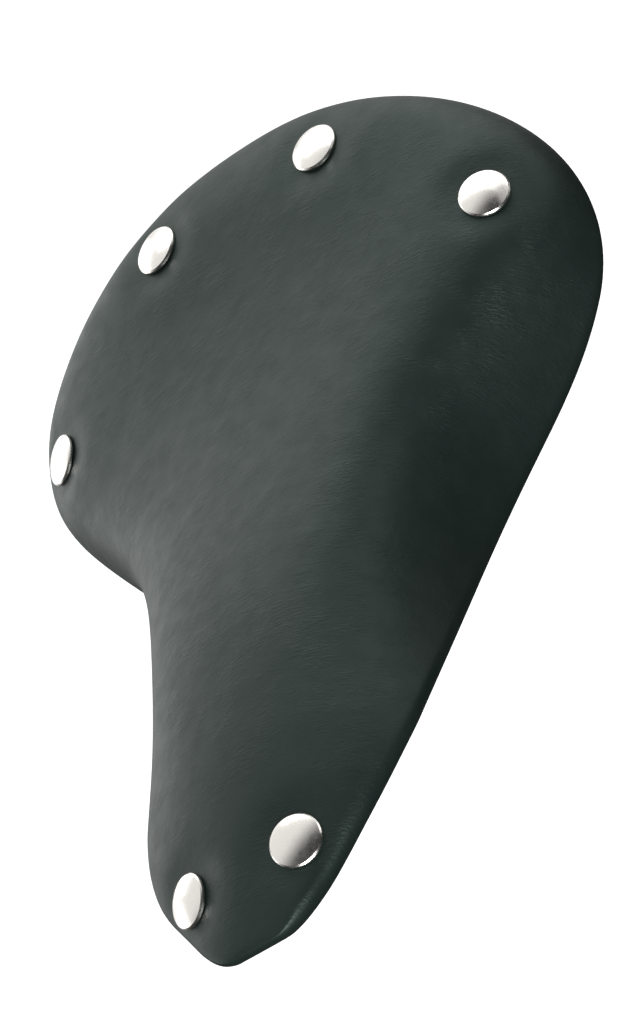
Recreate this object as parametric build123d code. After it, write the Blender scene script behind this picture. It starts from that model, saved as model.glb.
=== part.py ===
from build123d import *
from math import cos, hypot, pi, sqrt
import os

# Bicycle saddle with a padded, riveted cover, sprung on two rubber buffers.
# Millimetres. Origin: middle of the straight part of the rails, between them.
# +Z is up, the nose points to -Y, and +X is the rider's left.

# ---------------------------------------------------------------- driving dimensions
NOSE_REACH = 150.0  # origin to the nose tip
REAR_REACH = 114.5  # origin to the rear edge

# Half width before the ends are rounded off, at places along the saddle.
WIDTH_STATIONS = (-150.0, -120.0, -48.0, 2.0, 37.0, 72.0, 114.5)
HALF_WIDTHS = (17.1, 35.9, 45.7, 57.8, 86.0, 101.2, 101.6)
NOSE_ROUNDING = (55.4, 1.20, 0.15)  # length, and the two powers of the outline
REAR_ROUNDING = (78.9, 1.77, 0.50)

# Height of the crown line, before the ends drop away.
CROWN_STATIONS = (-150.0, -48.0, 42.0, 114.5)
CROWN_HEIGHTS = (60.2, 59.0, 46.7, 53.9)
NOSE_DROP = (57.1, 0.57)  # length and power of the rounding in side view
REAR_DROP = (27.0, 0.46)

# Height of the rim, the line where the flank turns into the rolled-under hem.
RIM_STATIONS = (-150.0, -105.0, -38.0, 22.0, 77.0, 114.5)
RIM_HEIGHTS = (52.3, 44.1, 14.7, 2.9, 26.8, 41.5)

# Shape of the cross-section: width of the flat top and lean of the flank.
SHAPE_STATIONS = (-150.0, -105.0, -28.0, 72.0, 114.5)
TOP_FLATNESS = (0.35, 0.35, 0.94, 0.76, 0.59)
FLANK_LEAN = (0.60, 0.58, 0.12, 0.07, 0.06)
SHOULDER = 0.67  # height of the shoulder as a share of the section's height

# Roll under the rim, as far inwards as it is deep.
ROLL_STATIONS = (-150.0, -100.0, 22.0, 114.5)
ROLLS = (8.0, 7.0, 6.0, 8.0)
BASE_INSETS = (5.0, 6.0, 6.0, 8.0)  # side of the cover to side of the base
ROLL_NOSE_END = 16.0  # length over which the roll grows from the nose tip
ROLL_REAR_END = 12.0
LEAST_CAMBER = 0.4  # least height of any layer's section above its rim

COVER_T = 1.3  # vinyl cover
SHELL_T = 3.0  # moulded base
FOAM_STATIONS = (-150.0, -105.0, 22.0, 114.5)
FOAM_TOPS = (3.0, 7.0, 11.0, 10.0)
FOAM_NOSE = 7.0  # foam in front of the base, along Y
FOAM_REAR = 8.0
FLANGE_W = 5.0  # inward flange of the base, which the hem is stapled to
FLANGE_T = 3.0

RAIL_R = 3.5
RAIL_X = 22.0  # half the rail spacing
CLAMP_LENGTH = 60.0  # straight, level part of the rails
HINGE_Y = -100.0  # the rail's crossbar, which the nose turns on
HINGE_Z = 34.0
CROSSBAR_X = 15.0  # half width of the rail loop at the nose
CROSSBAR_BEND = 8.0
HINGE_GAP = 0.05  # running clearance between the crossbar and its bush
BUSH_T = 1.4
BUSH_L = 15.0
BUSH_SLIT = 1.0

BUFFER_X = 40.0
BUFFER_Y = 66.0
BUFFER_R = 13.0
PLATE_R = 14.0  # steel plates bonded to the buffer's ends
PLATE_T = 2.0
STUD_R = 3.0
STUD_HOLE_R = 3.2
PAD_R = 17.0
PAD_FLOOR_T = 4.0
PAD_Z = 23.0  # underside of the base's buffer pads
POCKET_R = 8.5
WASHER_R = 6.4
WASHER_T = 1.2
NUT_FLATS = 10.0
NUT_H = 5.0

EYE_R = 8.0
EYE_T = 4.0
BRIDGE_T = 2.5
BRIDGE_W = 24.0

RIVET_R = 7.0
RIVET_SHANK_R = 2.0
RIVET_FIT = 0.05
RIVET_SINK = 0.35  # seat pressed into the cover
RIVET_DOME = 1.7
BURR_R = 5.5
BURR_T = 1.0
BOSS_R = 8.0
REAR_BOSS_DEPTH = 2.5
NOSE_BOSS_DEPTH = 0.3
# Place along the saddle and around the section (0 crown, 1 rim).
REAR_RIVET_PLACES = ((53.5, 0.52), (92.5, 0.24))
NOSE_RIVET_PLACES = ((-128.3, 0.56),)

RAIL_BEND_MARGIN = 8.0
REAR_BEND = 25.0
FRONT_BEND = 25.0
EYE_TONGUE = 16.0  # flat length in front of each eye's centre
EYE_NECK = 25.0  # distance from the eye's centre to where the round rod starts
BRIDGE_FLANGE = 7.0
BRIDGE_FLANGE_L = 44.0
BUFFER_WAIST = 2.0
STUD_PROUD = 1.0

STRAP_W = 14.0
STRAP_L = 36.0
STRAP_T = 2.5
SCREW_Y = 12.5
SCREW_R = 2.5
SCREW_GRIP = 7.5
SCREW_HEAD_R = 4.4
SCREW_HEAD_H = 2.6

STAPLE_L = 9.0
STAPLE_WIRE = 0.7
STAPLE_LEG = 4.0
STAPLE_INSET = 3.2
STAPLE_Y = (-116, -96, -76, -56, -36, -16, 4, 24, 44, 64, 84, 98)

RIB_T = 2.0
RIB_DEPTH = 4.5
RIB_X = (-24.0, 24.0)
RIB_Y = (-66.0, -34.0, 0.0, 34.0)
RIB_FRONT = -82.0
RIB_REAR = 92.0

FAR = 160.0
DEEP = -60.0
SECTION_COUNT = 30


def clamp(value, low=0.0, high=1.0):
    return min(max(value, low), high)


def spline(stations, values):
    """Natural cubic spline through the values, as a function of the place."""
    last = len(stations) - 1
    gaps = [stations[i + 1] - stations[i] for i in range(last)]
    slopes = [(values[i + 1] - values[i]) / gaps[i] for i in range(last)]
    upper = [0.0] * (last + 1)
    right = [0.0] * (last + 1)
    bend = [0.0] * (last + 1)
    for i in range(1, last):
        lead = 2 * (gaps[i - 1] + gaps[i]) - gaps[i - 1] * upper[i - 1]
        upper[i] = gaps[i] / lead
        right[i] = (6 * (slopes[i] - slopes[i - 1]) - gaps[i - 1] * right[i - 1]) / lead
    for i in range(last - 1, 0, -1):
        bend[i] = right[i] - upper[i] * bend[i + 1]

    def value(place):
        i = 0
        while i < last - 1 and place > stations[i + 1]:
            i += 1
        a = (stations[i + 1] - place) / gaps[i]
        b = 1 - a
        curved = (a**3 - a) * bend[i] + (b**3 - b) * bend[i + 1]
        return a * values[i] + b * values[i + 1] + curved * gaps[i] ** 2 / 6

    return value


full_width = spline(WIDTH_STATIONS, HALF_WIDTHS)
crown_height = spline(CROWN_STATIONS, CROWN_HEIGHTS)
rim_height = spline(RIM_STATIONS, RIM_HEIGHTS)
top_flatness = spline(SHAPE_STATIONS, TOP_FLATNESS)
flank_lean = spline(SHAPE_STATIONS, FLANK_LEAN)
full_roll = spline(ROLL_STATIONS, ROLLS)
base_inset = spline(ROLL_STATIONS, BASE_INSETS)
foam_top = spline(FOAM_STATIONS, FOAM_TOPS)


class Layer:
    """One of the nested surfaces that the cover, foam and base lie between.

    nose and rear set its ends back, side(y) brings its flanks in, and top(y)
    lowers its crown. A rolled layer ends in the roll under the rim; the others
    run straight down past it.
    """

    def __init__(self, nose, rear, side, top, rolled=False):
        self.front = -NOSE_REACH + nose
        self.back = REAR_REACH - rear
        self.side = side
        self.top = top
        self.rolled = rolled

    def shape(self, y):
        """Half width, rim height, height above the rim, and roll at y."""
        length, spread, power = NOSE_ROUNDING
        nose = 1 - clamp((self.front + length - y) / length) ** spread
        width = (full_width(y) - self.side(y)) * max(nose, 1e-9) ** power
        length, spread, power = REAR_ROUNDING
        rear = 1 - clamp((y - self.back + length) / length) ** spread
        width *= max(rear, 1e-9) ** power
        length, power = NOSE_DROP
        nose = 1 - clamp((self.front + length - y) / length) ** 2
        length, rear_power = REAR_DROP
        rear = 1 - clamp((y - self.back + length) / length) ** 2
        crown = crown_height(y) - self.top(y)
        rim = min(rim_height(y), crown - LEAST_CAMBER)
        lowered = rim_height(y) - rim
        height = (crown - rim) * max(nose, 1e-9) ** power
        height *= max(rear, 1e-9) ** rear_power
        nose = clamp((self.front + ROLL_NOSE_END - y) / ROLL_NOSE_END)
        rear = clamp((y - self.back + ROLL_REAR_END) / ROLL_REAR_END)
        roll = full_roll(y) - self.side(y) - lowered
        roll *= sqrt((1 - nose**2) * (1 - rear**2))
        return width, rim, height, roll

    def half_section(self, y):
        """Bezier points of the top, from crown to rim, and of the roll, in X and Z."""
        width, rim, height, roll = self.shape(y)
        shoulder = SHOULDER * height
        lean = min(max(flank_lean(y), 0.0) * shoulder, 0.6 * width)
        top = [
            (0.0, rim + height),
            (top_flatness(y) * width, rim + height),
            (width - lean, rim + shoulder),
            (width, rim),
        ]
        length = hypot(lean, shoulder)
        across = min(roll, 0.75 * width)
        hem = [
            (width, rim),
            (width + 0.55 * across * lean / length, rim - 0.55 * roll * shoulder / length),
            (width - 0.45 * across, rim - roll),
            (width - across, rim - roll),
        ]
        return top, hem

    def point(self, y, around):
        """Point on the top surface; around runs from 0, the crown, to 1, the rim."""
        top, _ = self.half_section(y)
        side = -1 if around < 0 else 1
        t = abs(around)
        share = ((1 - t) ** 3, 3 * (1 - t) ** 2 * t, 3 * (1 - t) * t**2, t**3)
        x = sum(s * p[0] for s, p in zip(share, top))
        z = sum(s * p[1] for s, p in zip(share, top))
        return Vector(side * x, y, z)

    def face(self, y):
        """The closed cross-section at y."""
        top, hem = self.half_section(y)
        if not self.rolled:
            hem = [top[-1], (top[-1][0], DEEP)]
        right = [[Vector(x, y, z) for x, z in run] for run in (top, hem)]
        left = [[Vector(-x, y, z) for x, z in reversed(run)] for run in (hem, top)]
        edges = [
            Edge.make_bezier(*right[0]),
            Edge.make_bezier(*right[1]),
            Edge.make_line(right[1][-1], left[0][0]),
            Edge.make_bezier(*left[0]),
            Edge.make_bezier(*left[1]),
        ]
        return Face(Wire(edges))

    def solid(self):
        """Loft through cross-sections that crowd towards both ends."""
        middle = (self.front + self.back) / 2
        reach = (self.back - self.front) / 2
        sections = []
        for i in range(SECTION_COUNT):
            angle = pi * (i + 0.35) / (SECTION_COUNT - 0.3)
            sections.append(self.face(middle - reach * cos(angle)))
        return loft(sections)


def constant(value):
    return lambda y: value


def export(name, *solids):
    """Write the solids as one node."""
    parts = [piece for solid in solids for piece in solid.solids()]
    shape = parts[0] if len(parts) == 1 else Compound(children=parts)
    export_step(shape, os.path.join("parts", name + ".step"))


def turned(points, arcs=()):
    """Revolve a closed outline of (radius, height) points about Z.

    arcs maps the index of an outline side to a point that its arc passes.
    """
    edges = []
    arcs = dict(arcs)
    for i, start in enumerate(points):
        end = points[(i + 1) % len(points)]
        a = Vector(start[0], 0, start[1])
        b = Vector(end[0], 0, end[1])
        if i in arcs:
            via = Vector(arcs[i][0], 0, arcs[i][1])
            edges.append(Edge.make_three_point_arc(a, via, b))
        else:
            edges.append(Edge.make_line(a, b))
    return revolve(Face(Wire(edges)), Axis.Z, 360)


def rod(radius, low, high, x=0.0, y=0.0):
    """Upright cylinder."""
    place = Location((x, y, (low + high) / 2))
    return place * Cylinder(radius, high - low)


def tilted(origin, up, along=None):
    """Place whose Z axis is up and, where given, whose X axis is along."""
    return Plane(origin=origin, x_dir=along, z_dir=up).location


# ---------------------------------------------------------------- nested layers
outer = Layer(0.0, 0.0, constant(0.0), constant(0.0), rolled=True)
cover_inside = Layer(2.0, COVER_T, constant(COVER_T), constant(COVER_T), rolled=True)


def inner_layer(depth, lowering):
    """A layer inside the foam, set in by depth from the base's outside."""
    return Layer(
        COVER_T + FOAM_NOSE + depth,
        COVER_T + FOAM_REAR + depth,
        lambda y: base_inset(y) + depth,
        lambda y: COVER_T + foam_top(y) + lowering,
    )


base_outside = inner_layer(0.0, 0.0)
base_inside = inner_layer(SHELL_T, SHELL_T)
rib_inside = inner_layer(SHELL_T + RIB_DEPTH, SHELL_T + RIB_DEPTH)
opening = inner_layer(SHELL_T + FLANGE_W, SHELL_T + 1.0)


def hem_height(y):
    """Underside of the cover at y."""
    _, rim, _, roll = outer.shape(y)
    return rim - roll


def flange_slab():
    """Everything from below the hem up to the top of the base's flange."""
    top = []
    steps = 24
    for i in range(steps + 1):
        y = -NOSE_REACH + (NOSE_REACH + REAR_REACH) * (1 - cos(pi * i / steps)) / 2
        top.append(Vector(-FAR, y, hem_height(y) + COVER_T + FLANGE_T))
    low_front = Vector(-FAR, -NOSE_REACH, DEEP)
    low_back = Vector(-FAR, REAR_REACH, DEEP)
    edges = [
        Edge.make_spline(top),
        Edge.make_line(top[-1], low_back),
        Edge.make_line(low_back, low_front),
        Edge.make_line(low_front, top[0]),
    ]
    return extrude(Face(Wire(edges)), amount=2 * FAR, dir=(1, 0, 0))


# ---------------------------------------------------------------- rivets
class RivetPlace:
    """A rivet's axis, and how deep the base's inside lies below its head."""

    def __init__(self, y, around, boss_depth, base_hollow):
        step = 0.05
        self.origin = outer.point(y, around)
        along = outer.point(y + step, around) - outer.point(y - step, around)
        across = outer.point(y, around + step / 10) - outer.point(y, around - step / 10)
        self.up = across.cross(along).normalized()
        hits = base_hollow.find_intersection_points(Axis(self.origin, -self.up))
        below = [(self.origin - point).dot(self.up) for point, _ in hits]
        self.depth = min(d for d in below if d > 0) + boss_depth

    def put(self, shape):
        return tilted(self.origin, self.up) * shape

    def rivet(self):
        """Domed head, shank, and the end peened over its burr."""
        seat = -RIVET_SINK
        edge = seat + 0.9
        burr = -self.depth - BURR_T
        outline = [
            (0.0, seat + RIVET_DOME + 0.6),
            (RIVET_R - 0.35, edge),
            (RIVET_R, edge - 0.35),
            (RIVET_R, seat),
            (RIVET_SHANK_R, seat),
            (RIVET_SHANK_R, burr),
            (RIVET_SHANK_R + 1.4, burr),
            (RIVET_SHANK_R + 0.6, burr - 1.1),
            (0.0, burr - 1.5),
        ]
        dome = ((RIVET_R - 0.35) * 0.53, seat + RIVET_DOME * 0.77 + 0.6)
        return self.put(turned(outline, {0: dome}))

    def burr(self):
        low = -self.depth - BURR_T
        ring = rod(BURR_R, low, -self.depth)
        ring -= rod(RIVET_SHANK_R + RIVET_FIT, low - 1, -self.depth + 1)
        return self.put(ring)

    def boss(self):
        return self.put(rod(BOSS_R, -self.depth, 1.0))

    def hole(self):
        return self.put(rod(RIVET_SHANK_R + RIVET_FIT, -self.depth - 8, 8))

    def room(self):
        """Space under the boss for the burr and the peened end."""
        return self.put(rod(BURR_R + 1.0, -self.depth - 9, -self.depth))

    def seat(self):
        return self.put(rod(RIVET_R + 0.25, -RIVET_SINK, 8))


# ---------------------------------------------------------------- rails
def saddle_rail():
    """One bent rod: rear eye, level stretch, rise, and the crossbar at the nose."""
    reach = CLAMP_LENGTH / 2 + RAIL_BEND_MARGIN
    eye = Vector(BUFFER_X, BUFFER_Y, 0)
    bend = Vector(RAIL_X, reach, 0)
    along = (eye - bend).normalized()
    neck = eye - along * EYE_NECK
    left = [neck, bend, Vector(RAIL_X, -reach, 0), Vector(CROSSBAR_X, HINGE_Y, HINGE_Z)]
    right = [Vector(-p.X, p.Y, p.Z) for p in reversed(left)]
    radii = [REAR_BEND, FRONT_BEND, CROSSBAR_BEND, CROSSBAR_BEND, FRONT_BEND, REAR_BEND]
    path = FilletPolyline(*left, *right, radius=radii)
    across = Vector(0, 0, 1).cross(along)
    start = Plane(origin=neck, x_dir=across, z_dir=along)
    bar = sweep(Plane(origin=neck, z_dir=-along) * Circle(RAIL_R), path=path)
    flat = Plane(origin=eye - along * EYE_TONGUE, x_dir=across, z_dir=along)
    flattened = loft([start * Circle(RAIL_R), flat * Ellipse(EYE_R, EYE_T / 2)])
    lying = Plane(origin=eye - along * EYE_TONGUE / 2, x_dir=along, z_dir=(0, 0, 1))
    tongue = lying.location * Box(EYE_TONGUE, 2 * EYE_R, EYE_T)
    end = rod(EYE_R, -EYE_T / 2, EYE_T / 2, BUFFER_X, BUFFER_Y) + tongue + flattened
    both = end + mirror(end, about=Plane.YZ)
    rail = bar + both
    for x in (-BUFFER_X, BUFFER_X):
        rail -= rod(STUD_HOLE_R, -EYE_T, EYE_T, x, BUFFER_Y)
    return rail


def rear_bridge():
    """Pressed plate on top of the rail eyes, with a stiffening flange each side."""
    low = EYE_T / 2
    high = low + BRIDGE_T
    middle = Location((0, BUFFER_Y, (low + high) / 2))
    plate = middle * Box(2 * BUFFER_X, BRIDGE_W, BRIDGE_T)
    for x in (-BUFFER_X, BUFFER_X):
        plate += rod(PLATE_R, low, high, x, BUFFER_Y)
    for side in (-1, 1):
        y = BUFFER_Y + side * (BRIDGE_W - BRIDGE_T) / 2
        place = Location((0, y, high - BRIDGE_FLANGE / 2))
        plate += place * Box(BRIDGE_FLANGE_L, BRIDGE_T, BRIDGE_FLANGE)
    slot = Pos(0, BUFFER_Y, high) * SlotOverall(BRIDGE_FLANGE_L - 16, 9)
    plate -= extrude(slot, amount=20, both=True)
    for x in (-BUFFER_X, BUFFER_X):
        plate -= rod(STUD_HOLE_R, low - 1, high + 1, x, BUFFER_Y)
    return plate


# ---------------------------------------------------------------- buffers
BRIDGE_TOP = EYE_T / 2 + BRIDGE_T
BUFFER_LOW = BRIDGE_TOP + PLATE_T
BUFFER_HIGH = PAD_Z - PLATE_T


def buffer(x):
    """Waisted rubber block between its two bonded plates."""
    lip = 1.6
    outline = [
        (0.0, BUFFER_HIGH),
        (BUFFER_R, BUFFER_HIGH),
        (BUFFER_R, BUFFER_HIGH - lip),
        (BUFFER_R, BUFFER_LOW + lip),
        (BUFFER_R, BUFFER_LOW),
        (0.0, BUFFER_LOW),
    ]
    waist = (BUFFER_R - BUFFER_WAIST, (BUFFER_LOW + BUFFER_HIGH) / 2)
    return Pos(x, BUFFER_Y, 0) * turned(outline, {2: waist})


def stud(x, plate_low, plate_high, tip):
    """Bonded plate with its stud, which ends at tip."""
    low, high = sorted((tip, plate_low if tip < plate_low else plate_high))
    return rod(PLATE_R, plate_low, plate_high, x, BUFFER_Y) + rod(
        STUD_R, low, high, x, BUFFER_Y
    )


def washer(x, low):
    ring = rod(WASHER_R, low, low + WASHER_T, x, BUFFER_Y)
    return ring - rod(STUD_HOLE_R, low - 1, low + WASHER_T + 1, x, BUFFER_Y)


def nut(x, low):
    hexagon = RegularPolygon(NUT_FLATS / 2, 6, major_radius=False)
    body = extrude(Pos(x, BUFFER_Y, low) * hexagon, amount=NUT_H)
    cone = chamfered_limits(x, low)
    return (body & cone) - rod(STUD_R + 0.02, low - 1, low + NUT_H + 1, x, BUFFER_Y)


def chamfered_limits(x, low):
    """Disc with sloped rims that takes the corners off a nut."""
    corner = NUT_FLATS / sqrt(3)
    outline = [
        (0.0, low + NUT_H),
        (corner - 0.7, low + NUT_H),
        (corner, low + NUT_H - 0.5),
        (corner, low + 0.5),
        (corner - 0.7, low),
        (0.0, low),
    ]
    return Pos(x, BUFFER_Y, 0) * turned(outline)


def buffer_pad(x):
    return rod(PAD_R, PAD_Z, 90, x, BUFFER_Y)


def buffer_pad_cuts(x):
    """Stud hole and the pocket for the nut, open towards the foam."""
    hole = rod(STUD_HOLE_R, PAD_Z - 1, 90, x, BUFFER_Y)
    return hole + rod(POCKET_R, PAD_Z + PAD_FLOOR_T, 90, x, BUFFER_Y)


# ---------------------------------------------------------------- nose hinge
def along_x(radius, length):
    return Pos(0, HINGE_Y, HINGE_Z) * Rot(0, 90, 0) * Cylinder(radius, length)


BUSH_R = RAIL_R + HINGE_GAP + BUSH_T


def crossbar_bush():
    """Nylon sleeve, slit so that it springs over the crossbar."""
    sleeve = along_x(BUSH_R, BUSH_L) - along_x(RAIL_R + HINGE_GAP, BUSH_L + 2)
    place = Location((0, HINGE_Y - BUSH_R, HINGE_Z))
    return sleeve - place * Box(BUSH_L + 2, 2 * BUSH_R, BUSH_SLIT)


def nose_pad():
    """Block under the base that the crossbar turns in."""
    place = Location((0, HINGE_Y, HINGE_Z + 20))
    return place * Box(STRAP_W, STRAP_L, 40)


def nose_pad_cuts():
    cuts = along_x(BUSH_R, STRAP_W + 20)
    for side in (-1, 1):
        y = HINGE_Y + side * SCREW_Y
        cuts += rod(SCREW_R + 0.02, HINGE_Z - 1, HINGE_Z + SCREW_GRIP + 0.5, 0, y)
    return cuts


def nose_strap():
    """Pressed strap that holds the crossbar up in the nose pad."""
    ears = Location((0, HINGE_Y, HINGE_Z - STRAP_T / 2)) * Box(STRAP_W, STRAP_L, STRAP_T)
    hump = along_x(BUSH_R + STRAP_T, STRAP_W)
    hump -= Location((0, HINGE_Y, HINGE_Z + 20)) * Box(60, 60, 40)
    strap = ears + hump - along_x(BUSH_R, STRAP_W + 20)
    for side in (-1, 1):
        y = HINGE_Y + side * SCREW_Y
        strap -= rod(SCREW_R + 0.25, HINGE_Z - 9, HINGE_Z + 9, 0, y)
    return strap


def nose_screw(side):
    """Pan-head screw with a hexagon socket, pointing up."""
    head = HINGE_Z - STRAP_T
    outline = [
        (0.0, HINGE_Z + SCREW_GRIP),
        (SCREW_R - 0.8, HINGE_Z + SCREW_GRIP),
        (SCREW_R, HINGE_Z + SCREW_GRIP - 1.2),
        (SCREW_R, head),
        (SCREW_HEAD_R, head),
        (SCREW_HEAD_R, head - 1.0),
        (SCREW_HEAD_R - 1.2, head - SCREW_HEAD_H),
        (0.0, head - SCREW_HEAD_H),
    ]
    socket = RegularPolygon(1.6, 6, major_radius=False)
    body = turned(outline)
    body -= extrude(Pos(0, 0, head - SCREW_HEAD_H) * socket, amount=1.5)
    return Pos(0, HINGE_Y + side * SCREW_Y, 0) * body


# ---------------------------------------------------------------- staples
def hem_point(y, side):
    """Middle of the hem's width at y, with the hem's direction and its normal."""

    def edge(place):
        top, hem = outer.half_section(place)
        return Vector(side * hem[-1][0], place, hem_height(place))

    along = (edge(y + 0.5) - edge(y - 0.5)).normalized()
    inward = Vector(-along.Y, along.X, 0).normalized() * side
    spot = edge(y) + inward * STAPLE_INSET
    slope = (hem_height(spot.Y + 0.5) - hem_height(spot.Y - 0.5)) / 1.0
    down = Vector(0, slope, -1).normalized()
    spot = Vector(spot.X, spot.Y, hem_height(spot.Y))
    flat = (along - down * along.dot(down)).normalized()
    return spot, flat, down


def staple(y, side):
    """Wire staple whose crown lies under the hem."""
    spot, flat, down = hem_point(y, side)
    wire = STAPLE_WIRE
    crown = Pos(0, 0, wire / 2) * Box(STAPLE_L, wire, wire)
    for end in (-1, 1):
        place = Pos(end * (STAPLE_L - wire) / 2, 0, wire - STAPLE_LEG / 2)
        crown += place * Box(wire, wire, STAPLE_LEG)
    return tilted(spot, down, flat) * crown


# ---------------------------------------------------------------- assembly
def ribs(hollow, stop, under_cover):
    """Stiffening ribs moulded under the base."""
    plates = []
    for x in RIB_X:
        length = RIB_REAR - RIB_FRONT
        place = Location((x, (RIB_REAR + RIB_FRONT) / 2, 30))
        plates.append(place * Box(RIB_T, length, 140))
    for y in RIB_Y:
        plates.append(Location((0, y, 30)) * Box(2 * FAR, RIB_T, 140))
    grid = plates[0]
    for plate in plates[1:]:
        grid += plate
    return (grid & hollow & under_cover) - stop


def build():
    os.makedirs("parts", exist_ok=True)
    whole = outer.solid()
    within = cover_inside.solid()
    base_block = base_outside.solid()
    hollow = base_inside.solid()
    mouth = opening.solid()
    slab = flange_slab()

    rear_places = [
        RivetPlace(y, side * around, REAR_BOSS_DEPTH, hollow)
        for y, around in REAR_RIVET_PLACES
        for side in (-1, 1)
    ]
    nose_places = [
        RivetPlace(y, side * around, NOSE_BOSS_DEPTH, hollow)
        for y, around in NOSE_RIVET_PLACES
        for side in (-1, 1)
    ]
    places = rear_places + nose_places

    cover = whole - within - mouth
    foam = within - base_block - slab
    base = (base_block & within) - hollow
    base += (slab & within) - mouth
    base += ribs(hollow, rib_inside.solid(), within)
    added = nose_pad()
    for x in (-BUFFER_X, BUFFER_X):
        added += buffer_pad(x)
    for place in places:
        added += place.boss()
    base += added & base_block & within
    base -= nose_pad_cuts()
    for x in (-BUFFER_X, BUFFER_X):
        base -= buffer_pad_cuts(x)
    for place in places:
        cover -= place.hole()
        cover -= place.seat()
        foam -= place.hole()
        base -= place.hole() + place.room()

    export("cover", cover)
    export("foam_pad", foam)
    export("base_shell", base)
    export("rear_rivets", *[place.rivet() for place in rear_places])
    export("nose_rivets", *[place.rivet() for place in nose_places])
    export("rivet_burrs", *[place.burr() for place in places])
    staples = [staple(y, side) for y in STAPLE_Y for side in (-1, 1)]
    export("cover_staples", *staples)

    export("saddle_rail", saddle_rail())
    export("rear_bridge", rear_bridge())
    export("crossbar_bush", crossbar_bush())
    export("nose_strap", nose_strap())
    export("nose_strap_screws", *[nose_screw(side) for side in (-1, 1)])

    sides = (-BUFFER_X, BUFFER_X)
    export("left_buffer", buffer(BUFFER_X))
    export("right_buffer", buffer(-BUFFER_X))
    lower_nut = -EYE_T / 2 - WASHER_T - NUT_H
    upper_nut = PAD_Z + PAD_FLOOR_T + WASHER_T
    lower_tip = lower_nut - STUD_PROUD
    upper_tip = upper_nut + NUT_H + STUD_PROUD
    export("lower_studs", *[stud(x, BRIDGE_TOP, BUFFER_LOW, lower_tip) for x in sides])
    export("upper_studs", *[stud(x, BUFFER_HIGH, PAD_Z, upper_tip) for x in sides])
    export("lower_washers", *[washer(x, -EYE_T / 2 - WASHER_T) for x in sides])
    export("upper_washers", *[washer(x, PAD_Z + PAD_FLOOR_T) for x in sides])
    export("lower_nuts", *[nut(x, lower_nut) for x in sides])
    export("upper_nuts", *[nut(x, upper_nut) for x in sides])


build()
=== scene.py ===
from math import cos, pi, radians, sin

import bmesh
import bpy
import numpy as np
from mathutils import Matrix, Vector


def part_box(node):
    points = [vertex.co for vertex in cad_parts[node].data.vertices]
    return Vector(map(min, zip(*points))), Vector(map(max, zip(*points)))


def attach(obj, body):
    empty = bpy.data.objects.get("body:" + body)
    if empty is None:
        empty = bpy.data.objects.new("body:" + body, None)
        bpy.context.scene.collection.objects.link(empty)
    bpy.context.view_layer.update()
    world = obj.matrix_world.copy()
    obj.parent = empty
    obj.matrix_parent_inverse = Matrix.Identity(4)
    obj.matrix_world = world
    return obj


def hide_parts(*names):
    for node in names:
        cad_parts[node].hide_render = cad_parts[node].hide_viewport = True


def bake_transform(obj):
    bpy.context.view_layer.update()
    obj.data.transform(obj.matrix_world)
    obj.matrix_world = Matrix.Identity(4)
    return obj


# Bicycle saddle. Shapes are worked out in millimetres, as in the CAD, and every
# mesh is written in metres.
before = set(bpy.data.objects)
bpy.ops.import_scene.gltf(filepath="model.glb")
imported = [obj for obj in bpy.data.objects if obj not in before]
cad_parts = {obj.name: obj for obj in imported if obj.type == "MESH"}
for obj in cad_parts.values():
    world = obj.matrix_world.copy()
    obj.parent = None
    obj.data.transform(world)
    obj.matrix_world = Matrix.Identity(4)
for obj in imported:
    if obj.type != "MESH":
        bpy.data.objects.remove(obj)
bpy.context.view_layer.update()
MM = 0.001

# ---------------------------------------------------------------- camera
CAMERA_TARGET = (4.3, -3.3, 26.0)
CAMERA_AZIMUTH = 39.6
CAMERA_ELEVATION = 36.16
CAMERA_ROLL = -57.2
CAMERA_DISTANCE = 1471.3
CAMERA_LENS = 200.7

# ---------------------------------------------------------------- light
SKY_AZIMUTH = 217.0
SKY_ELEVATION = 30.0
SKY_FADE = (0.20, 0.72, 0.02, 0.82)  # cosines from the brightest point, strengths
SOFTBOXES = (  # name, azimuth, elevation, distance, size, power in watts
    ("low_left", 240, -2, 1300, 700, 0.3),
    ("left", 270, 12, 1300, 700, 1.4),
    ("near_left", 235, 18, 430, 330, 0.31),
    ("near_rear", 185, 36, 430, 330, 0.37),
    ("near_right", 158, 30, 430, 330, 0.21),
    ("near_right_rear", 118, 26, 430, 330, 0.14),
    ("right_rear", 125, 14, 1300, 700, 1.7),
    ("front", 20, 10, 1300, 900, 23.0),
)
LIGHT_TARGET = (0.0, 0.0, 20.0)
FLOOR_GLOW = 0.62
FLOOR_HALF_SIZE = 6000.0
FLOOR_HEIGHT = -350.0

# ---------------------------------------------------------------- cover shape
# Stations are places along Y, and the values at them are joined by a spline.
NOSE_REACH = 150.0
REAR_REACH = 114.5
WIDTH_STATIONS = (-150.0, -120.0, -48.0, 2.0, 37.0, 72.0, 114.5)
HALF_WIDTHS = (17.1, 35.9, 45.7, 57.8, 86.0, 101.2, 101.6)
NOSE_ROUNDING = (55.4, 1.20, 0.15)  # length, spread, power
REAR_ROUNDING = (78.9, 1.77, 0.50)
CROWN_STATIONS = (-150.0, -48.0, 42.0, 114.5)
CROWN_HEIGHTS = (60.2, 59.0, 46.7, 53.9)
NOSE_DROP = (57.1, 0.57)  # length, power
REAR_DROP = (27.0, 0.46)
RIM_STATIONS = (-150.0, -105.0, -38.0, 22.0, 77.0, 114.5)
RIM_HEIGHTS = (52.3, 44.1, 14.7, 2.9, 26.8, 41.5)
SHAPE_STATIONS = (-150.0, -105.0, -28.0, 72.0, 114.5)
TOP_FLATNESS = (0.35, 0.35, 0.94, 0.76, 0.59)
FLANK_LEAN = (0.60, 0.58, 0.12, 0.07, 0.06)
SHOULDER = 0.67  # height at which the top turns into the flank, as a share
ROLL_STATIONS = (-150.0, -100.0, 22.0, 114.5)
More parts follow.
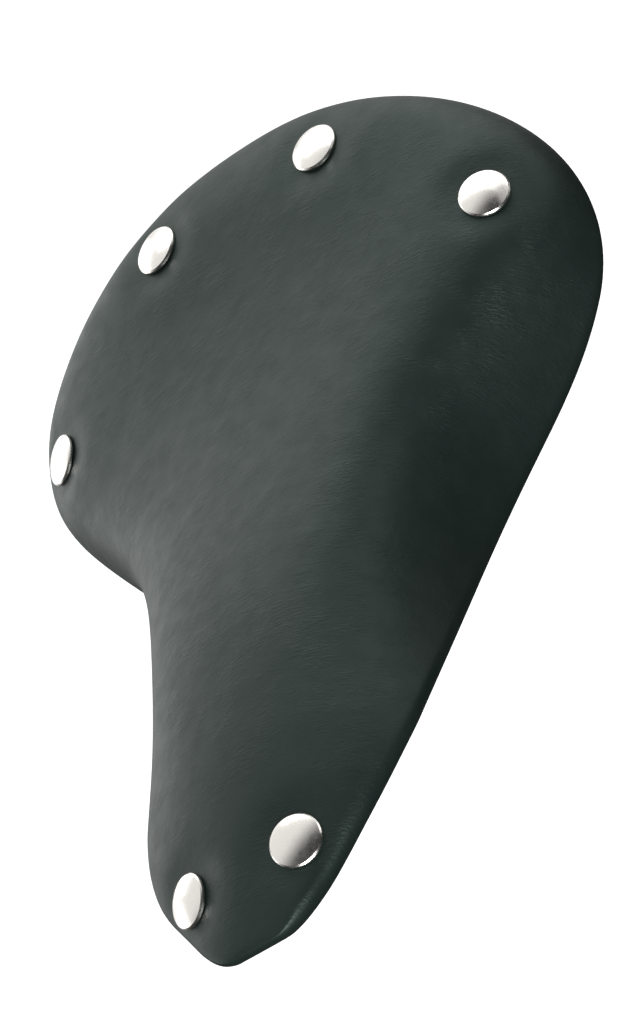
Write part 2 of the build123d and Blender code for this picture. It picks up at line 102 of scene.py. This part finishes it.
ROLLS = (8.0, 7.0, 6.0, 8.0)
ROLL_NOSE_END = 16.0
ROLL_REAR_END = 12.0
COVER_T = 1.3

# The cover's mouth underneath, set in from the cover's outside.
MOUTH_NOSE = 16.3
MOUTH_REAR = 17.3
MOUTH_INSETS = (13.0, 14.0, 14.0, 16.0)

# Y of each rivet and its place from the crown, 0, to the rim, 1; both sides have one.
RIVET_PLACES = ((53.5, 0.52), (92.5, 0.24), (-128.3, 0.56))
RIVET_R = 7.0
DIMPLE = 1.35  # depth of the pull around a rivet, under the swell beside it
DIMPLE_SPREAD = 6.0
SWELL = 0.85
SWELL_SPREAD = 15.0
DIMPLE_REACH = 9.0  # how far above or below the rivet the cover still follows

GRID_STEP = 1.3
MERGE_DISTANCE = 0.02
TOP_STEPS = 46
ROLL_STEPS = 12
HEM_STEPS = 6
LATHE_STEPS = 96

# ---------------------------------------------------------------- foam and buffers
FOAM_VOXEL = 1.6
FOOT_BEVEL = (0.5, 0.4)  # across and along, at a buffer's two bonded ends
FOOT_HEIGHT = 1.2
WAIST_DEPTH = 2.0
BEAD_HEIGHT = 0.8
BEAD_SPREAD = 0.10  # as a share of the buffer's height
BUFFER_STEPS = 40


def spline(stations, values):
    """Natural cubic spline through the values, for arrays of places."""
    x = np.array(stations)
    y = np.array(values)
    gaps = np.diff(x)
    slopes = np.diff(y) / gaps
    count = len(x)
    system = np.eye(count)
    right = np.zeros(count)
    for i in range(1, count - 1):
        system[i, i - 1 : i + 2] = gaps[i - 1], 2 * (gaps[i - 1] + gaps[i]), gaps[i]
        right[i] = 6 * (slopes[i] - slopes[i - 1])
    bend = np.linalg.solve(system, right)

    def value(place):
        i = np.clip(np.searchsorted(x, place) - 1, 0, count - 2)
        a = (x[i + 1] - place) / gaps[i]
        b = 1 - a
        curved = (a**3 - a) * bend[i] + (b**3 - b) * bend[i + 1]
        return a * y[i] + b * y[i + 1] + curved * gaps[i] ** 2 / 6

    return value


full_width = spline(WIDTH_STATIONS, HALF_WIDTHS)
crown_height = spline(CROWN_STATIONS, CROWN_HEIGHTS)
rim_height = spline(RIM_STATIONS, RIM_HEIGHTS)
top_flatness = spline(SHAPE_STATIONS, TOP_FLATNESS)
flank_lean = spline(SHAPE_STATIONS, FLANK_LEAN)
full_roll = spline(ROLL_STATIONS, ROLLS)
mouth_inset = spline(ROLL_STATIONS, MOUTH_INSETS)


def half_width(y, nose=0.0, rear=0.0, inset=0.0):
    """Half width at y of the outline, or of one set in from it."""
    front = -NOSE_REACH + nose
    back = REAR_REACH - rear
    length, spread, power = NOSE_ROUNDING
    at_nose = 1 - np.clip((front + length - y) / length, 0, 1) ** spread
    width = (full_width(y) - inset) * np.maximum(at_nose, 1e-12) ** power
    length, spread, power = REAR_ROUNDING
    at_rear = 1 - np.clip((y - back + length) / length, 0, 1) ** spread
    return width * np.maximum(at_rear, 1e-12) ** power


def section(y):
    """Half width, rim height, height above the rim, and roll at y."""
    length, power = NOSE_DROP
    nose = 1 - np.clip((-NOSE_REACH + length - y) / length, 0, 1) ** 2
    height = (crown_height(y) - rim_height(y)) * np.maximum(nose, 1e-9) ** power
    length, power = REAR_DROP
    rear = 1 - np.clip((y - REAR_REACH + length) / length, 0, 1) ** 2
    height = height * np.maximum(rear, 1e-9) ** power
    nose = np.clip((-NOSE_REACH + ROLL_NOSE_END - y) / ROLL_NOSE_END, 0, 1)
    rear = np.clip((y - REAR_REACH + ROLL_REAR_END) / ROLL_REAR_END, 0, 1)
    roll = full_roll(y) * np.sqrt((1 - nose**2) * (1 - rear**2))
    return half_width(y), rim_height(y), height, roll


def bezier(t, a, b, c, d):
    return (1 - t) ** 3 * a + 3 * (1 - t) ** 2 * t * b + 3 * (1 - t) * t**2 * c + t**3 * d


def top_point(y, around):
    """X and Z on the top; around runs from 0, the crown, to 1, the rim."""
    width, rim, height, _ = section(y)
    shoulder = SHOULDER * height
    lean = np.minimum(np.maximum(flank_lean(y), 0) * shoulder, 0.6 * width)
    x = bezier(around, 0, top_flatness(y) * width, width - lean, width)
    z = bezier(around, rim + height, rim + height, rim + shoulder, rim)
    return x, z


def roll_point(y, around):
    """X and Z on the roll; around runs from 0, the rim, to 1, the hem."""
    width, rim, height, roll = section(y)
    shoulder = SHOULDER * height
    lean = np.minimum(np.maximum(flank_lean(y), 0) * shoulder, 0.6 * width)
    length = np.hypot(lean, shoulder) + 1e-9
    across = np.minimum(roll, 0.75 * width)
    x1 = width + 0.55 * across * lean / length
    z1 = rim - 0.55 * roll * shoulder / length
    x = bezier(around, width, x1, width - 0.45 * across, width - across)
    z = bezier(around, rim, z1, rim - roll, rim - roll)
    return x, z


def mouth_width(y):
    """Half width of the opening underneath; 0 in front of it and behind it."""
    inside = (y > -NOSE_REACH + MOUTH_NOSE) & (y < REAR_REACH - MOUTH_REAR)
    width = half_width(y, MOUTH_NOSE, MOUTH_REAR, mouth_inset(y))
    return np.where(inside, width, 0.0)


def even_stations():
    """Places along the saddle, evenly spaced round the outline and the mouth."""
    fine = np.geomspace(1e-4, 130, 4000)
    ends = [-NOSE_REACH, REAR_REACH]
    ends += [-NOSE_REACH + MOUTH_NOSE, REAR_REACH - MOUTH_REAR]
    y = np.concatenate([end + side * fine for end in ends for side in (-1, 1)])
    y = np.unique(y[(y > -NOSE_REACH + 5e-5) & (y < REAR_REACH - 5e-5)])
    steps = np.hypot(np.diff(y), np.abs(np.diff(half_width(y))))
    steps = np.maximum(steps, np.abs(np.diff(mouth_width(y))))
    along = np.concatenate([[0], np.cumsum(steps)])
    return np.interp(np.arange(0, along[-1], GRID_STEP), along, y)


def ring(y):
    """Points of the right half at y, from the crown round to the mouth's edge."""
    top_x, top_z = top_point(y, np.linspace(0, 1, TOP_STEPS + 1))
    roll_x, roll_z = roll_point(y, np.linspace(0, 1, ROLL_STEPS + 1)[1:])
    edge = min(float(mouth_width(y)), roll_x[-1])
    hem_x = np.linspace(roll_x[-1], edge, HEM_STEPS + 1)[1:]
    hem_z = np.full(HEM_STEPS, roll_z[-1])
    x = np.concatenate([top_x, roll_x, hem_x])
    z = np.concatenate([top_z, roll_z, hem_z])
    return np.stack([x, np.full(len(x), y), z], 1)


def rivet_axes():
    """Place and outward direction of each rivet."""
    axes = []
    for y, around in RIVET_PLACES:
        step = 0.05
        x0, z0 = top_point(y, around)
        x1, z1 = top_point(y - step, around)
        x2, z2 = top_point(y + step, around)
        along = np.array([x2 - x1, 2 * step, z2 - z1])
        x1, z1 = top_point(y, around - step / 10)
        x2, z2 = top_point(y, around + step / 10)
        across = np.array([x2 - x1, 0, z2 - z1])
        up = np.cross(across, along)
        up /= np.linalg.norm(up)
        for side in (-1, 1):
            mirrored = np.array([side, 1, 1])
            axes.append((np.array([x0, y, z0]) * mirrored, up * mirrored))
    return axes


def dimpled(points):
    """Pull the cover in at each rivet, with a low swell around the pull."""
    moved = points.copy()
    for place, up in rivet_axes():
        offset = points - place
        height = offset @ up
        away = np.linalg.norm(offset - height[:, None] * up, axis=1)
        beyond = np.maximum(away - RIVET_R, 0)
        push = SWELL * np.exp(-((beyond / SWELL_SPREAD) ** 2))
        push -= DIMPLE * np.exp(-((beyond / DIMPLE_SPREAD) ** 2))
        push *= np.exp(-((height / DIMPLE_REACH) ** 2))
        moved += push[:, None] * up
    return moved


# ---------------------------------------------------------------- mesh helpers
def mesh_object(name, points, faces):
    """A smooth-shaded object from points in millimetres."""
    mesh = bpy.data.meshes.new(name)
    mesh.from_pydata((np.asarray(points) * MM).tolist(), [], faces)
    work = bmesh.new()
    work.from_mesh(mesh)
    bmesh.ops.remove_doubles(work, verts=work.verts, dist=MERGE_DISTANCE * MM)
    bmesh.ops.dissolve_degenerate(work, edges=work.edges, dist=0.25 * MERGE_DISTANCE * MM)
    work.to_mesh(mesh)
    work.free()
    mesh.polygons.foreach_set("use_smooth", [True] * len(mesh.polygons))
    item = bpy.data.objects.new(name, mesh)
    bpy.context.collection.objects.link(item)
    return item


def apply_modifiers(item):
    """Write the modified mesh into the object."""
    graph = bpy.context.evaluated_depsgraph_get()
    graph.update()
    mesh = bpy.data.meshes.new_from_object(item.evaluated_get(graph))
    item.modifiers.clear()
    item.data = mesh


def lathe(name, outline, centre):
    """Revolve an outline of (radius, height) points about an upright axis."""
    points = []
    faces = []
    count = len(outline)
    for i in range(LATHE_STEPS):
        angle = 2 * pi * i / LATHE_STEPS
        for radius, height in outline:
            x = centre[0] + radius * cos(angle)
            y = centre[1] + radius * sin(angle)
            points.append((x, y, height))
    for i in range(LATHE_STEPS):
        here = i * count
        after = (i + 1) % LATHE_STEPS * count
        for j in range(count - 1):
            faces.append((here + j, after + j, after + j + 1, here + j + 1))
    return mesh_object(name, points, faces)


# ---------------------------------------------------------------- node helpers
class Shader:
    """A Principled material, built node by node."""

    def __init__(self, name, **values):
        self.material = bpy.data.materials.new(name)
        self.material.use_nodes = True
        self.nodes = self.material.node_tree.nodes
        self.links = self.material.node_tree.links
        self.surface = self.nodes["Principled BSDF"]
        for key, value in values.items():
            self.surface.inputs[key.replace("_", " ")].default_value = value
        self.place = self.nodes.new("ShaderNodeTexCoord").outputs["Object"]
        self.bumps = None

    def stretched(self, scale):
        """Coordinates scaled by a different count per metre along each axis."""
        node = self.nodes.new("ShaderNodeMapping")
        node.inputs["Scale"].default_value = scale
        self.links.new(self.place, node.inputs["Vector"])
        return node.outputs["Vector"]

    def noise(self, size, detail=3.0, roughness=0.5, distortion=0.0, along=(1, 1, 1)):
        """Noise with cells about size millimetres across, longer where along is."""
        count = 1 / (size * MM)
        node = self.nodes.new("ShaderNodeTexNoise")
        node.inputs["Scale"].default_value = 1.0
        node.inputs["Detail"].default_value = detail
        node.inputs["Roughness"].default_value = roughness
        node.inputs["Distortion"].default_value = distortion
        vector = self.stretched(tuple(count / a for a in along))
        self.links.new(vector, node.inputs["Vector"])
        return node.outputs["Fac"]

    def cells(self, size, along=(1, 1, 1)):
        """Distance to the nearest cell centre, for pebbled grain."""
        count = 1 / (size * MM)
        node = self.nodes.new("ShaderNodeTexVoronoi")
        node.feature = "SMOOTH_F1"
        node.inputs["Scale"].default_value = 1.0
        vector = self.stretched(tuple(count / a for a in along))
        self.links.new(vector, node.inputs["Vector"])
        return node.outputs["Distance"]

    def between(self, factor, low, high, out_low, out_high):
        node = self.nodes.new("ShaderNodeMapRange")
        self.links.new(factor, node.inputs["Value"])
        for key, value in zip(("From Min", "From Max", "To Min", "To Max"),
                              (low, high, out_low, out_high)):
            node.inputs[key].default_value = value
        return node.outputs["Result"]

    def times(self, first, second):
        node = self.nodes.new("ShaderNodeMath")
        node.operation = "MULTIPLY"
        self.links.new(first, node.inputs[0])
        self.links.new(second, node.inputs[1])
        return node.outputs["Value"]

    def colours(self, factor, low, high, first, second):
        ramp = self.nodes.new("ShaderNodeValToRGB")
        ramp.color_ramp.elements[0].position = low
        ramp.color_ramp.elements[0].color = (*first, 1)
        ramp.color_ramp.elements[1].position = high
        ramp.color_ramp.elements[1].color = (*second, 1)
        self.links.new(factor, ramp.inputs["Fac"])
        self.links.new(ramp.outputs["Color"], self.surface.inputs["Base Color"])

    def roughness(self, factor, low, high):
        result = self.between(factor, 0.3, 0.7, low, high)
        self.links.new(result, self.surface.inputs["Roughness"])

    def bump(self, height, depth, strength=1.0):
        """Add relief, depth in millimetres."""
        node = self.nodes.new("ShaderNodeBump")
        node.inputs["Strength"].default_value = strength
        node.inputs["Distance"].default_value = depth * MM
        self.links.new(height, node.inputs["Height"])
        if self.bumps:
            self.links.new(self.bumps, node.inputs["Normal"])
        self.bumps = node.outputs["Normal"]
        self.links.new(self.bumps, self.surface.inputs["Normal"])


# ---------------------------------------------------------------- materials
def vinyl():
    """Matte leatherette: fine grain, with short creases that run across the saddle."""
    shader = Shader("vinyl", Specular_IOR_Level=0.4, Specular_Tint=(0.78, 1.0, 0.92, 1))
    patches = shader.noise(26, detail=4, roughness=0.6)
    shader.colours(patches, 0.32, 0.68, (0.008, 0.0145, 0.0125), (0.0115, 0.018, 0.016))
    shader.roughness(shader.noise(7, detail=5, roughness=0.65), 0.44, 0.54)
    shader.bump(shader.noise(16, detail=2), 0.6, 0.2)
    shader.bump(shader.cells(0.55, along=(1.5, 0.9, 1.5)), 0.05, 0.6)
    creases = shader.noise(0.46, detail=3, roughness=0.6, distortion=0.4, along=(6, 1, 6))
    clusters = shader.between(shader.noise(9, detail=3), 0.42, 0.66, 0.12, 0.9)
    shader.bump(shader.times(creases, clusters), 0.24, 0.8)
    return shader.material


def nickel():
    """Polished nickel with faint handling marks."""
    shader = Shader("nickel", Metallic=1.0, Base_Color=(0.93, 0.90, 0.85, 1))
    shader.roughness(shader.noise(1.2, detail=5, roughness=0.7), 0.20, 0.30)
    shader.bump(shader.noise(2.5, detail=3), 0.03, 0.4)
    return shader.material


def foam():
    """Moulded polyurethane foam with a fine open skin."""
    shader = Shader("foam", Roughness=0.9)
    shader.colours(shader.noise(6, detail=4), 0.3, 0.7, (0.50, 0.46, 0.36), (0.60, 0.56, 0.46))
    shader.bump(shader.cells(0.7), 0.3, 0.6)
    return shader.material


def base_plastic():
    """Black moulded polypropylene with a spark-eroded texture."""
    shader = Shader("base_plastic", Specular_IOR_Level=0.45)
    shader.colours(shader.noise(18, detail=3), 0.3, 0.7, (0.018, 0.018, 0.019), (0.025, 0.025, 0.026))
    shader.roughness(shader.noise(4, detail=4), 0.42, 0.55)
    shader.bump(shader.noise(0.35, detail=2), 0.06, 0.5)
    return shader.material


def rail_steel():
    """Satin chrome plate with long polishing marks."""
    shader = Shader("rail_steel", Metallic=1.0, Base_Color=(0.66, 0.67, 0.68, 1))
    shader.roughness(shader.noise(0.6, detail=4, along=(1, 25, 1)), 0.18, 0.30)
    shader.bump(shader.noise(0.5, detail=3, along=(1, 30, 1)), 0.02, 0.4)
    return shader.material


def black_paint():
    """Powder coat with a slight orange peel."""
    shader = Shader("black_paint", Coat_Weight=0.25, Coat_Roughness=0.2)
    shader.colours(shader.noise(12), 0.3, 0.7, (0.016, 0.016, 0.017), (0.022, 0.022, 0.023))
    shader.roughness(shader.noise(2, detail=4), 0.38, 0.48)
    shader.bump(shader.noise(1.1, detail=2), 0.06, 0.5)
    return shader.material


def zinc():
    """Bright zinc plate, a little cloudy."""
    shader = Shader("zinc", Metallic=1.0)
    shader.colours(shader.noise(2.5, detail=4), 0.3, 0.7, (0.60, 0.62, 0.66), (0.70, 0.70, 0.68))
    shader.roughness(shader.noise(1.0, detail=4), 0.25, 0.40)
    shader.bump(shader.noise(0.4, detail=3), 0.02, 0.5)
    return shader.material


def staple_wire():
    """Galvanised flat wire."""
    shader = Shader("staple_wire", Metallic=1.0)
    shader.colours(shader.noise(1.0, detail=4), 0.3, 0.7, (0.50, 0.50, 0.50), (0.62, 0.62, 0.60))
    shader.roughness(shader.noise(0.5, detail=3), 0.30, 0.45)
    return shader.material


def rubber():
    """Black buffer rubber with a dusty bloom."""
    shader = Shader("buffer_rubber", Specular_IOR_Level=0.35)
    shader.colours(shader.noise(5, detail=5), 0.3, 0.7, (0.014, 0.014, 0.014), (0.026, 0.026, 0.025))
    shader.roughness(shader.noise(3, detail=4), 0.62, 0.80)
    shader.bump(shader.noise(0.6, detail=3), 0.06, 0.5)
    return shader.material


def nylon():
    """Natural nylon."""
    shader = Shader("nylon", Subsurface_Weight=0.15, Subsurface_Scale=0.002)
    shader.colours(shader.noise(4, detail=3), 0.3, 0.7, (0.66, 0.63, 0.54), (0.72, 0.69, 0.61))
    shader.roughness(shader.noise(1.5, detail=3), 0.35, 0.5)
    shader.bump(shader.noise(0.8, detail=2), 0.03, 0.4)
    return shader.material


def dress(material, *names):
    """Give CAD nodes their material."""
    for name in names:
        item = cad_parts[name]
        item.data.materials.clear()
        item.data.materials.append(material)


# ---------------------------------------------------------------- pieces
def make_cover(material):
    """The cover: one sheet from the crown over the rim to the hem, then thickened."""
    points = []
    stations = even_stations()
    for y in stations:
        right = ring(y)
        left = right[:0:-1] * (-1, 1, 1)
        points.append(np.concatenate([left, right]))
    for tip in (points[0], points[-1]):
        tip[:] = tip.mean(axis=0)  # the first and last rings close to a point
    count = len(points[0])
    faces = []
    for i in range(len(stations) - 1):
        for j in range(count - 1):
            a = i * count + j
            faces.append((a, a + 1, a + count + 1, a + count))
    cover = mesh_object("cover_skin", dimpled(np.concatenate(points)), faces)
    thick = cover.modifiers.new("thickness", "SOLIDIFY")
    thick.thickness = COVER_T * MM
    thick.offset = -1.0
    apply_modifiers(cover)
    cover.data.materials.append(material)
    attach(cover, "seat")
    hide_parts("cover")
    return cover


def make_foam(material):
    """The foam, remeshed from its solid and given an uneven moulded skin."""
    item = bpy.data.objects.new("foam_core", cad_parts["foam_pad"].data.copy())
    bpy.context.collection.objects.link(item)
    item.data.materials.clear()
    item.data.materials.append(material)
    remesh = item.modifiers.new("remesh", "REMESH")
    remesh.mode = "VOXEL"
    remesh.voxel_size = FOAM_VOXEL * MM
    remesh.use_smooth_shade = True
    apply_modifiers(item)
    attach(item, "seat")
    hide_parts("foam_pad")
    return item


def buffer_outline(low, high, radius):
    """Half profile of a buffer: bonded feet, a moulded bead and a soft waist."""
    across, along = FOOT_BEVEL
    outline = [(0.0, low), (radius - across, low), (radius, low + along)]
    reach = high - low - 2 * FOOT_HEIGHT
    for share in np.linspace(0, 1, BUFFER_STEPS + 1):
        waist = WAIST_DEPTH * sin(pi * share) ** 0.8
        bead = BEAD_HEIGHT * np.exp(-(((share - 0.5) / BEAD_SPREAD) ** 2))
        outline.append((radius - waist + bead, low + FOOT_HEIGHT + reach * share))
    outline += [(radius, high - along), (radius - across, high), (0.0, high)]
    return outline


def make_buffer(name, node, material):
    """A rubber buffer in its CAD node's place, stretched between rails and seat."""
    low, high = (np.array(corner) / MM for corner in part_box(node))
    centre = (low + high) / 2
    radius = (high[0] - low[0]) / 2
    item = lathe(name, buffer_outline(low[2], high[2], radius), centre)
    item.data.materials.append(material)
    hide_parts(node)
    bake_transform(item)
    return item


# ---------------------------------------------------------------- studio
def aim(item, location, target):
    """Place an item and turn its -Z towards the target."""
    item.location = Vector(location) * MM
    item.rotation_mode = "QUATERNION"
    away = (Vector(location) - Vector(target)).normalized()
    item.rotation_quaternion = away.to_track_quat("Z", "Y")


def direction(azimuth, elevation):
    """Unit vector towards a place round the saddle; azimuth 0 is in front of the nose."""
    a, e = radians(azimuth), radians(elevation)
    return Vector((sin(a) * cos(e), -cos(a) * cos(e), sin(e)))


def make_camera():
    """A long lens, rolled so that the nose points down and to the left."""
    data = bpy.data.cameras.new("camera")
    camera = bpy.data.objects.new("camera", data)
    bpy.context.collection.objects.link(camera)
    data.sensor_fit = "AUTO"
    data.sensor_width = 36.0
    data.lens = CAMERA_LENS
    data.clip_start, data.clip_end = 0.05, 50.0
    back = direction(CAMERA_AZIMUTH, CAMERA_ELEVATION)
    level = Vector((0, 0, 1)).cross(back).normalized()
    upright = back.cross(level)
    roll = radians(CAMERA_ROLL)
    right = level * cos(roll) + upright * sin(roll)
    up = back.cross(right)
    turn = Matrix((right, up, back)).transposed()
    camera.rotation_mode = "QUATERNION"
    camera.rotation_quaternion = turn.to_quaternion()
    camera.location = (Vector(CAMERA_TARGET) + back * CAMERA_DISTANCE) * MM
    bpy.context.scene.camera = camera


def softbox(name, azimuth, elevation, distance, size, power):
    """A square white light that faces the saddle."""
    data = bpy.data.lights.new(name, "AREA")
    data.shape = "SQUARE"
    data.size = size * MM
    data.energy = power
    light = bpy.data.objects.new(name, data)
    bpy.context.collection.objects.link(light)
    aim(light, direction(azimuth, elevation) * distance, LIGHT_TARGET)


def make_floor():
    """A plain floor far below, which glows white and lights nothing."""
    size, height = FLOOR_HALF_SIZE, FLOOR_HEIGHT
    corners = [(-size, -size, height), (size, -size, height)]
    corners += [(size, size, height), (-size, size, height)]
    floor = mesh_object("floor", corners, [(0, 1, 2, 3)])
    shader = Shader("floor", Base_Color=(0.9, 0.9, 0.9, 1), Roughness=0.9,
                    Emission_Color=(1, 1, 1, 1), Emission_Strength=FLOOR_GLOW)
    floor.data.materials.append(shader.material)
    floor.visible_diffuse = False
    floor.visible_glossy = False


def make_sky():
    """A white cyclorama behind the saddle and to its right, fading to a dim room."""
    world = bpy.data.worlds.new("studio")
    world.use_nodes = True
    nodes = world.node_tree.nodes
    links = world.node_tree.links
    ray = nodes.new("ShaderNodeTexCoord").outputs["Generated"]
    facing = nodes.new("ShaderNodeVectorMath")
    facing.operation = "DOT_PRODUCT"
    facing.inputs[1].default_value = direction(SKY_AZIMUTH, SKY_ELEVATION)
    links.new(ray, facing.inputs[0])
    fade = nodes.new("ShaderNodeMapRange")
    fade.interpolation_type = "SMOOTHSTEP"
    for key, value in zip(("From Min", "From Max", "To Min", "To Max"), SKY_FADE):
        fade.inputs[key].default_value = value
    links.new(facing.outputs["Value"], fade.inputs["Value"])
    links.new(fade.outputs["Result"], nodes["Background"].inputs["Strength"])
    nodes["Background"].inputs["Color"].default_value = (1, 1, 1, 1)
    return world


def make_studio():
    scene = bpy.context.scene
    scene.view_settings.view_transform = "Standard"
    scene.world = make_sky()
    for values in SOFTBOXES:
        softbox(*values)
    make_floor()


make_camera()
make_studio()
make_cover(vinyl())
make_foam(foam())
buffer_rubber = rubber()
for side in ("left", "right"):
    make_buffer(side + "_buffer_rubber", side + "_buffer", buffer_rubber)
dress(base_plastic(), "base_shell")
dress(nickel(), "rear_rivets", "nose_rivets", "rivet_burrs")
dress(staple_wire(), "cover_staples")
dress(rail_steel(), "saddle_rail")
dress(black_paint(), "rear_bridge", "nose_strap")
dress(nylon(), "crossbar_bush")
dress(zinc(), "nose_strap_screws", "upper_studs", "upper_washers", "upper_nuts",
      "lower_studs", "lower_washers", "lower_nuts")
